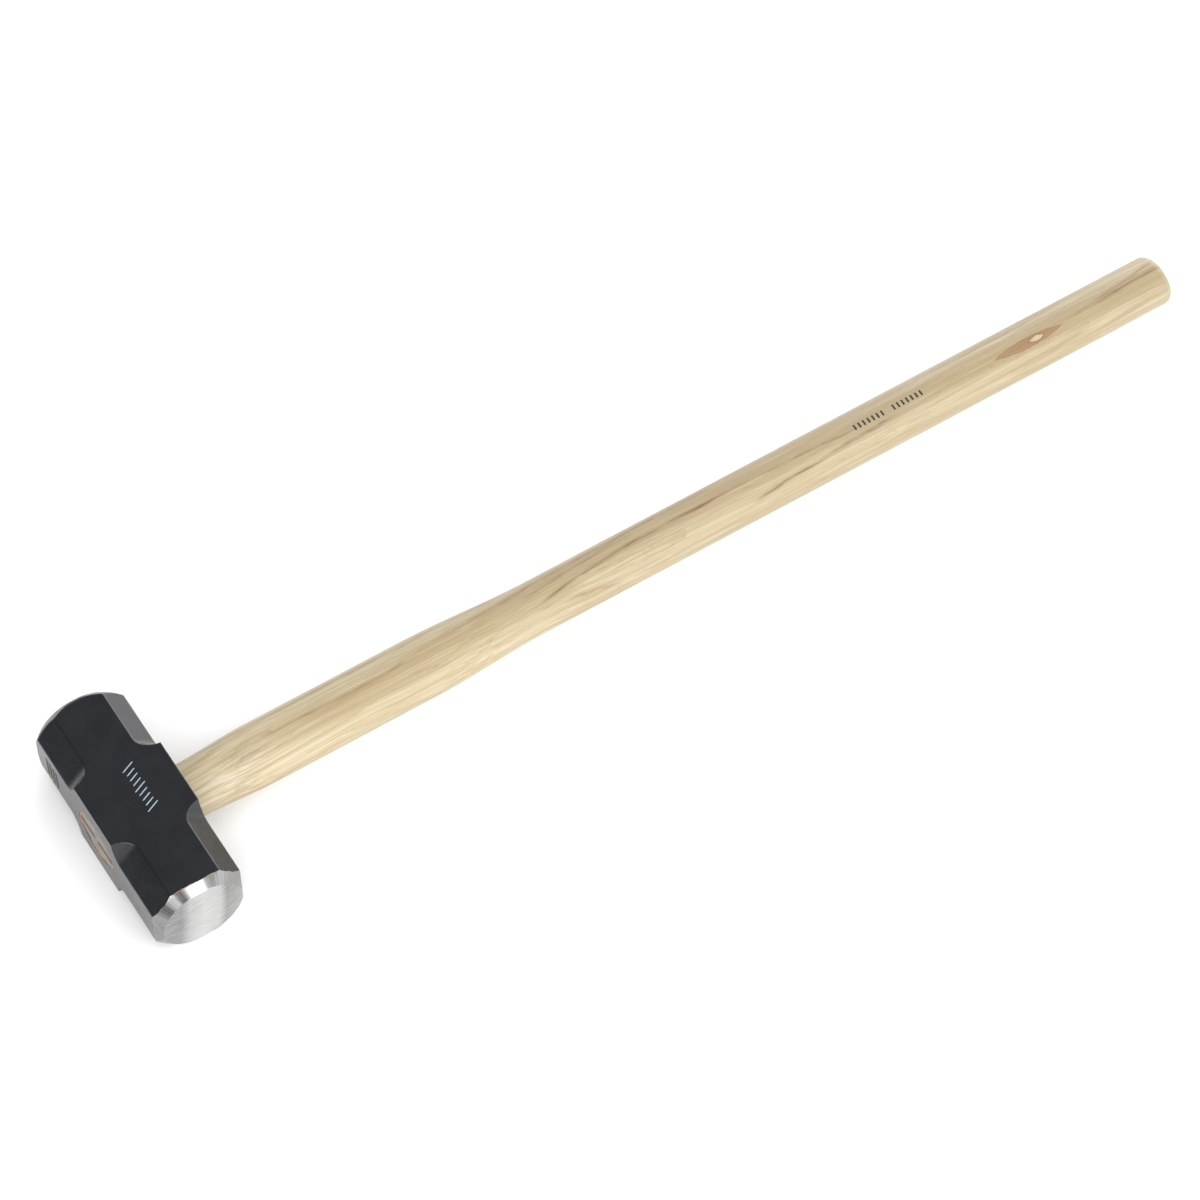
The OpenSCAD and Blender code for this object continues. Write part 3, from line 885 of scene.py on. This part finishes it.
        line = add(tree, "VectorMath", {0: line, 1: line}, operation="MULTIPLY").outputs[0]
        share = add(tree, "VectorMath", {0: line, 1: strength}, operation="DOT_PRODUCT").outputs["Value"]
        share = add(tree, "Math", {0: share, 1: broken}, operation="MULTIPLY", use_clamp=True).outputs[0]
        wood = add(tree, "Mix", {0: share, 6: wood, 7: colours.vein}, data_type="RGBA").outputs[2]

    pore_mask = add(tree, "MapRange", {"Value": pores, "From Min": 0.6, "From Max": 0.72}).outputs[0]
    early = add(
        tree, "MapRange", {"Value": rings, "From Min": 0.4, "From Max": 0.0, "To Min": 0.12, "To Max": 0.55}
    ).outputs[0]
    pore_share = add(tree, "Math", {0: pore_mask, 1: early}, operation="MULTIPLY").outputs[0]
    wood = add(tree, "Mix", {0: pore_share, 6: wood, 7: colours.pore}, data_type="RGBA").outputs[2]
    scuffs = add(
        tree, "MapRange", {"Value": fibre, "From Min": 0.52, "From Max": 0.42, "To Max": 0.6}
    ).outputs[0]
    scuffs = add(tree, "Math", {0: scuffs, 1: shares["scuff_share"]}, operation="MULTIPLY").outputs[0]
    wood = add(tree, "Mix", {0: scuffs, 6: wood, 7: colours.scuffed}, data_type="RGBA").outputs[2]

    rim = add(
        tree, "ValToRGB", {0: almond}, stops=[(0.0, 0.8), (0.7, 0.6), (0.88, 0.95), (1.0, 0.0)]
    ).outputs[0]
    wood = add(tree, "Mix", {0: rim, 6: wood, 7: colours.knot}, data_type="RGBA").outputs[2]
    outline = add(
        tree, "MapRange", {"Value": heart, "From Min": 1.7, "From Max": 1.1, "To Max": 0.55}
    ).outputs[0]
    wood = add(tree, "Mix", {0: outline, 6: wood, 7: colours.pore}, data_type="RGBA").outputs[2]
    centre = add(tree, "MapRange", {"Value": heart, "From Min": 1.1, "From Max": 0.75}).outputs[0]
    wood = add(tree, "Mix", {0: centre, 6: wood, 7: colours.knot_heart}, data_type="RGBA").outputs[2]

    # The sawn end in the eye: grey, with its rings end on
    along = add(tree, "SeparateXYZ", {0: place}).outputs["X"]
    depth = {"From Min": -HALF_DEPTH + 0.8 * MM, "From Max": -HALF_DEPTH + 0.5 * MM}
    sawn = add(tree, "MapRange", {"Value": along, **depth}).outputs[0]
    wood = add(tree, "Mix", {0: sawn, 6: wood, 7: colours.end_grain}, data_type="RGBA").outputs[2]

    rough = add(tree, "MapRange", {"Value": fibre, "To Min": 0.38, "To Max": 0.54}).outputs[0]
    grooves = add(tree, "Math", {0: pore_share, 1: -1.0}, operation="MULTIPLY").outputs[0]
    grooved = add(tree, "Bump", {"Strength": 0.4, "Distance": 0.06 * MM, "Height": grooves}).outputs[0]
    fibred = add(
        tree, "Bump", {"Strength": 0.15, "Distance": 0.08 * MM, "Height": fibre, "Normal": grooved}
    ).outputs[0]
    tree.links.new(wood, shader.inputs["Base Color"])
    tree.links.new(rough, shader.inputs["Roughness"])
    tree.links.new(fibred, shader.inputs["Normal"])
    return material


def plain_grained(name, tint, scale, rough, stretch=(1, 1, 1), depth=0.05 * MM, metallic=0.0, spread=0.35):
    """A finish of one tint, lighter and darker by spread along a noise of the given scale and stretch."""
    material, tree, shader = new_material(name, Metallic=metallic)
    place = add(tree, "TexCoord").outputs["Object"]
    stretched = add(tree, "Mapping", {"Vector": place, "Scale": stretch}).outputs[0]
    noise = add(
        tree, "TexNoise", {"Vector": stretched, "Scale": scale, "Detail": 4, "Roughness": 0.6}
    ).outputs[0]
    dark = [(1 - spread) * c for c in tint[:3]] + [1]
    base = add(tree, "ValToRGB", {0: noise}, stops=[(0.32, dark), (0.62, tint)]).outputs[0]
    roughness = add(
        tree, "MapRange", {"Value": noise, "To Min": rough + 0.1, "To Max": rough - 0.1}
    ).outputs[0]
    bump = add(tree, "Bump", {"Strength": 0.5, "Distance": depth, "Height": noise}).outputs[0]
    tree.links.new(base, shader.inputs["Base Color"])
    tree.links.new(roughness, shader.inputs["Roughness"])
    tree.links.new(bump, shader.inputs["Normal"])
    return material


# ---------------------------------------------------------------- operators


class SLEDGE_OT_head(Operator):
    """Builds the forged head with its ground faces and its eye"""

    bl_idname = "sledge.head"
    bl_label = "Head"

    def execute(self, context):
        settings = context.scene.sledgehammer
        eye = settings.eye
        surface = HeadSurface(settings.head)
        material = painted_forging(settings.finishes)
        head = loft_piece("forged_head", surface.rings(), material)
        past = 1 * MM    # how far the cutter reaches past the head
        flare = eye.chamfer + past
        chamfer_x = HALF_DEPTH - eye.chamfer
        x = np.array([-HALF_DEPTH - past, -chamfer_x, 0, chamfer_x, HALF_DEPTH + past])
        out = np.array([flare, 0, 0, 0, flare])
        half = eye_half(np.clip(x, -HALF_DEPTH, HALF_DEPTH), eye)
        cut(head, loft_piece("eye_cutter", oval_rings(x, half + out, half * eye.oval + out, 128), material))
        head.data.set_sharp_from_angle(angle=math.radians(32))
        surface.write_wear(head.data)
        finish_piece(head, ["head"])
        return {"FINISHED"}


class SLEDGE_OT_handle(Operator):
    """Builds the hickory handle with the sawn kerfs in its tenon"""

    bl_idname = "sledge.handle"
    bl_label = "Handle"

    def execute(self, context):
        settings = context.scene.sledgehammer
        eye, wedges = settings.eye, settings.wedges
        material = lacquered_hickory(settings.finishes, settings.handle)
        handle = loft_piece("hickory_handle", handle_rings(eye, settings.handle), material)
        gap = wedges.gap
        cut(handle, wedge_plate(
            "wood_kerf", wedges.wood_thick + 2 * gap, HEAD_HIGH.y,
            wedges.wood_length + gap, eye, "Y", material,
        ))
        cut(handle, wedge_plate(
            "steel_kerf", wedges.steel_thick + 2 * gap, wedges.steel_width + 2 * gap,
            wedges.steel_length + gap, eye, "Z", material,
        ))
        handle.data.set_sharp_from_angle(angle=math.radians(40))
        write_grain(handle.data)
        finish_piece(handle, ["handle"])
        return {"FINISHED"}


class SLEDGE_OT_wedges(Operator):
    """Gives the two wedges their finishes"""

    bl_idname = "sledge.wedges"
    bl_label = "Wedges"

    def execute(self, context):
        colours = context.scene.sledgehammer.finishes
        # Bare hardwood: long dark fibres, 1 mm apart on its end
        wood = plain_grained("bare_hardwood", colours.wedge_wood, 900, 0.7, stretch=(0.1, 1, 1))
        # Mild steel, cropped and hammered: grey, with scale in its dents
        steel = plain_grained(
            "cropped_mild_steel", colours.wedge_steel, 260, 0.45, depth=0.2 * MM, metallic=1.0
        )
        for node, material in (("wooden_wedge", wood), ("steel_wedge", steel)):
            materials = frame["nodes"][node].data.materials
            materials.clear()
            materials.append(material)
        return {"FINISHED"}


class SLEDGE_OT_resin(Operator):
    """Builds the resin between handle and head, with its bead under the head"""

    bl_idname = "sledge.resin"
    bl_label = "Resin"

    def execute(self, context):
        settings = context.scene.sledgehammer
        eye, handle = settings.eye, settings.handle
        # Set resin: glossy, amber, clouded where it is thick
        material = plain_grained("set_amber_resin", settings.finishes.resin, 220, 0.3, depth=0.1 * MM)
        gap = eye.gap
        top = -HALF_DEPTH
        columns = 144
        turn = np.linspace(0, 2 * np.pi, columns, endpoint=False)
        bead = eye.bead * (1 + 0.25 * np.sin(3 * turn + 1) + 0.18 * np.sin(8 * turn))
        skin = eye.sunk * (0.6 + 0.3 * np.sin(5 * turn) + 0.1 * np.sin(13 * turn + 2))
        flat = 0 * turn
        # Each row of the profile: x, then the half width there, outside the eye's oval or the handle
        rows = [
            (top + skin, eye_half(top, eye) + eye.chamfer - gap * 4 + flat),
            (top + eye.chamfer + flat, eye_half(top, eye) - gap + flat),
            (flat, eye_half(0.0, eye) - gap + flat),
            (HALF_DEPTH + gap * 2 + flat, eye_half(HALF_DEPTH, eye) - gap + flat),
            (HALF_DEPTH + gap * 2 + flat, eye_half(HALF_DEPTH, eye) + bead),
            (HALF_DEPTH + bead * 0.45, eye_half(HALF_DEPTH, eye) + bead * 0.8),
            (HALF_DEPTH + bead * 0.85, eye_half(HALF_DEPTH, eye) + bead * 0.3),
        ]
        outer = [self.row(x, half, half - eye_half(x, eye) + eye_half(x, eye) * eye.oval) for x, half in rows]
        shaft_x = HALF_DEPTH + bead
        half_width, half_thick = shaft_halves(shaft_x, eye, handle)
        lip = self.row(shaft_x, half_width + gap, half_thick + gap)
        inner_x = np.array([HALF_DEPTH, 0.0, top + eye.sunk])
        inner_half = eye_half(inner_x, eye)
        inner = [
            self.row(x + flat, half - eye.resin + gap + flat, half * eye.oval - eye.resin + gap + flat)
            for x, half in zip(inner_x, inner_half)
        ]
        rings = np.stack([*outer, lip, *inner])
        piece = add_piece("resin_collar", rings, ring_faces(len(rings), columns, closed=True), material)
        piece.data.set_sharp_from_angle(angle=math.radians(50))
        finish_piece(piece, ["resin_bond"])
        return {"FINISHED"}

    @staticmethod
    def row(x, half_width, half_thick):
        """One ring of the profile, with its own x and oval at each column."""
        turn = np.linspace(0, 2 * np.pi, len(x), endpoint=False)
        return np.stack([x, half_width * np.cos(turn), MIDDLE + half_thick * np.sin(turn)], -1)


class SLEDGE_OT_marks(Operator):
    """Prints plain strokes on the cheek and plain bars on the handle and the head's top"""

    bl_idname = "sledge.marks"
    bl_label = "Marks"

    def execute(self, context):
        settings = context.scene.sledgehammer
        marks, colours = settings.marks, settings.finishes
        # Printed ink: flat, slightly worn, with hardly any thickness
        pale = plain_grained("pale_screen_ink", colours.pale_ink, 900, 0.5, spread=0.25)
        dark = plain_grained("dark_stamp_ink", colours.dark_ink, 1200, 0.6, spread=0.5)

        order = np.arange(marks.strokes) - (marks.strokes - 1) / 2
        tall = 1 + 0.35 * (np.arange(marks.strokes) % 4 == 0)
        across, along = 24, 3
        u = np.linspace(-1, 1, across)[None, :, None]
        v = np.linspace(-1, 1, along)[None, None, :]
        slant = marks.stroke_slant
        reach = marks.stroke_length / 2 * tall[:, None, None] * u
        width = marks.stroke_width / 2 * np.sqrt(1 - (0.96 * u) ** 8)
        x = marks.strokes_x + reach * math.cos(slant) + width * v * math.sin(slant)
        row_y = marks.strokes_y + (order * marks.stroke_pitch)[:, None, None]
        y = row_y + reach * math.sin(slant) - width * v * math.cos(slant)
        strokes = self.printed("cheek_strokes", (x, y, HEAD_HIGH.z + 0 * x), (0, 0, marks.ink), pale)
        finish_piece(strokes, [])

        order = np.arange(2 * marks.bars) - (2 * marks.bars - 1) / 2
        order = order + marks.bar_space / 2 * np.sign(order)
        x = marks.bars_x + (order * marks.bar_pitch)[:, None, None] + marks.bar_width / 2 * v + 0 * u
        y = marks.bars_y + marks.bar_length / 2 * u + 0 * x
        half_width, half_thick = shaft_halves(x, settings.eye, settings.handle)
        z = MIDDLE + half_thick * np.sqrt(1 - (y / half_width) ** 2)
        bars = self.printed("handle_bars", (x, y, z), (0, 0, marks.ink), dark)
        finish_piece(bars, [])

        order = np.arange(marks.blocks) - (marks.blocks - 1) / 2
        y = marks.blocks_y + (order * marks.block_pitch)[:, None, None] + marks.block_width / 2 * v + 0 * u
        z = MIDDLE + marks.blocks_z + marks.block_length / 2 * u + 0 * y
        blocks = self.printed("head_bars", (0 * y - HALF_DEPTH, y, z), (-marks.ink, 0, 0), dark)
        finish_piece(blocks, [])
        return {"FINISHED"}

    @staticmethod
    def printed(name, place, ink, material):
        """Thin closed pads, one for each mark: its grid a hair above the surface and again a hair below."""
        grid = np.stack(place, -1)
        count, rows, columns = grid.shape[:3]
        sheets = np.stack([grid + np.array(ink), grid - np.array(ink)], 1)
        index = np.arange(rows * columns).reshape(rows, columns)
        rim = np.concatenate([index[0, :-1], index[:-1, -1], index[-1, :0:-1], index[:0:-1, 0]])
        quads = np.stack([index[:-1, :-1], index[1:, :-1], index[1:, 1:], index[:-1, 1:]], -1).reshape(-1, 4)
        below = quads[:, ::-1] + rows * columns
        wall = np.stack([rim, np.roll(rim, -1), np.roll(rim, -1) + rows * columns, rim + rows * columns], -1)
        pad = np.concatenate([quads, below, wall])
        faces = pad[None] + (np.arange(count) * 2 * rows * columns)[:, None, None]
        piece = add_piece(name, sheets, faces.reshape(-1, 4).tolist(), material)
        piece.data.set_sharp_from_angle(angle=math.radians(50))
        return piece


class SLEDGE_OT_stage(Operator):
    """Sets the plain floor, the studio light and the camera"""

    bl_idname = "sledge.stage"
    bl_label = "Stage"

    def execute(self, context):
        scene = context.scene
        stage = scene.sledgehammer.stage
        material, tree, shader = new_material("plain_paper_floor", Roughness=0.9, Specular_IOR_Level=0.1)
        shader.inputs["Base Color"].default_value = scene.sledgehammer.finishes.floor
        size = 12.0
        corners = np.array([[-1, -1, 0], [1, -1, 0], [1, 1, 0], [-1, 1, 0]]) * size
        corners[:, 2] = HEAD_LOW.z
        floor = add_piece("floor", corners, [[0, 1, 2, 3]], material)

        # A white room: bright at the horizon, darker straight above and towards the far left
        world = bpy.data.worlds.new("white_room")
        world.use_nodes = True
        tree = world.node_tree
        background = tree.nodes["Background"]
        background.inputs["Color"].default_value = (1, 1, 1, 1)
        toward = add(tree, "TexCoord").outputs["Generated"]
        height = add(tree, "SeparateXYZ", {0: toward}).outputs["Z"]
        even = add(
            tree, "MapRange", {"Value": height, "To Min": stage.rim_light, "To Max": stage.sky}
        ).outputs[0]
        side = add(tree, "VectorMath", {0: toward, 1: (0.85, -0.5, 0)}, operation="DOT_PRODUCT")
        shade = add(
            tree, "MapRange",
            {
                "Value": side.outputs["Value"],
                "From Min": -1,
                "To Min": 1 - stage.shade,
                "To Max": 1 + stage.shade,
            },
        ).outputs[0]
        light = add(tree, "Math", {0: even, 1: shade}, operation="MULTIPLY").outputs[0]
        tree.links.new(light, background.inputs["Strength"])
        scene.world = world

        aim = Vector((stage.aim_x, stage.aim_y, MIDDLE))
        self.light("main_softbox", aim, (0, -1.17, 2.32), 3.4, stage.softbox)
        self.light("left_softbox", aim, (-1.9, -1.0, 1.4), 1.6, stage.left_box)
        self.light("rear_softbox", aim, (1.7, 1.6, 0.8), 1.6, stage.rear_box)

        flat = math.cos(stage.elevation)
        back = Vector((
            math.sin(stage.azimuth) * flat, -math.cos(stage.azimuth) * flat, math.sin(stage.elevation)
        ))
        data = bpy.data.cameras.new("camera")
        data.lens = stage.lens
        data.sensor_width = 36
        data.clip_end = 50
        camera = bpy.data.objects.new("camera", data)
        camera.location = aim + back * stage.distance
        camera.rotation_mode = "QUATERNION"
        camera.rotation_quaternion = (-back).to_track_quat("-Z", "Y") @ Quaternion((0, 0, 1), -stage.roll)
        scene.collection.objects.link(camera)
        scene.camera = camera
        scene.view_settings.view_transform = "Standard"
        return {"FINISHED"}

    @staticmethod
    def light(name, aim, offset, size, power):
        """A square softbox at an offset from the aim point, facing it."""
        data = bpy.data.lights.new(name, "AREA")
        data.size = size
        data.energy = power
        lamp = bpy.data.objects.new(name, data)
        lamp.location = aim + Vector(offset)
        lamp.rotation_mode = "QUATERNION"
        lamp.rotation_quaternion = Vector(offset).to_track_quat("Z", "Y")
        bpy.context.scene.collection.objects.link(lamp)


class SLEDGE_PT_panel(Panel):
    """Lists the steps that build the sledgehammer"""

    bl_idname = "SLEDGE_PT_panel"
    bl_label = "Sledgehammer"
    bl_space_type = "VIEW_3D"
    bl_region_type = "UI"
    bl_category = "Sledgehammer"

    def draw(self, context):
        for step in STEPS:
            self.layout.operator(step.bl_idname)


STEPS = (
    SLEDGE_OT_head, SLEDGE_OT_handle, SLEDGE_OT_wedges, SLEDGE_OT_resin, SLEDGE_OT_marks, SLEDGE_OT_stage
)
GROUPS = (
    HeadSizes, EyeSizes, HandleSizes, WedgeSizes, MarkSizes, Finishes, StageSettings, SledgehammerSettings
)


def register():
    for cls in (*GROUPS, *STEPS, SLEDGE_PT_panel):
        bpy.utils.register_class(cls)
    bpy.types.Scene.sledgehammer = PointerProperty(type=SledgehammerSettings)


def unregister():
    del bpy.types.Scene.sledgehammer
    for cls in reversed((*GROUPS, *STEPS, SLEDGE_PT_panel)):
        bpy.utils.unregister_class(cls)


def main():
    """Registers the add-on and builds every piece."""
    register()
    for step in STEPS:
        group, name = step.bl_idname.split(".")
        getattr(getattr(bpy.ops, group), name)()


if __name__ == "__main__":
    main()
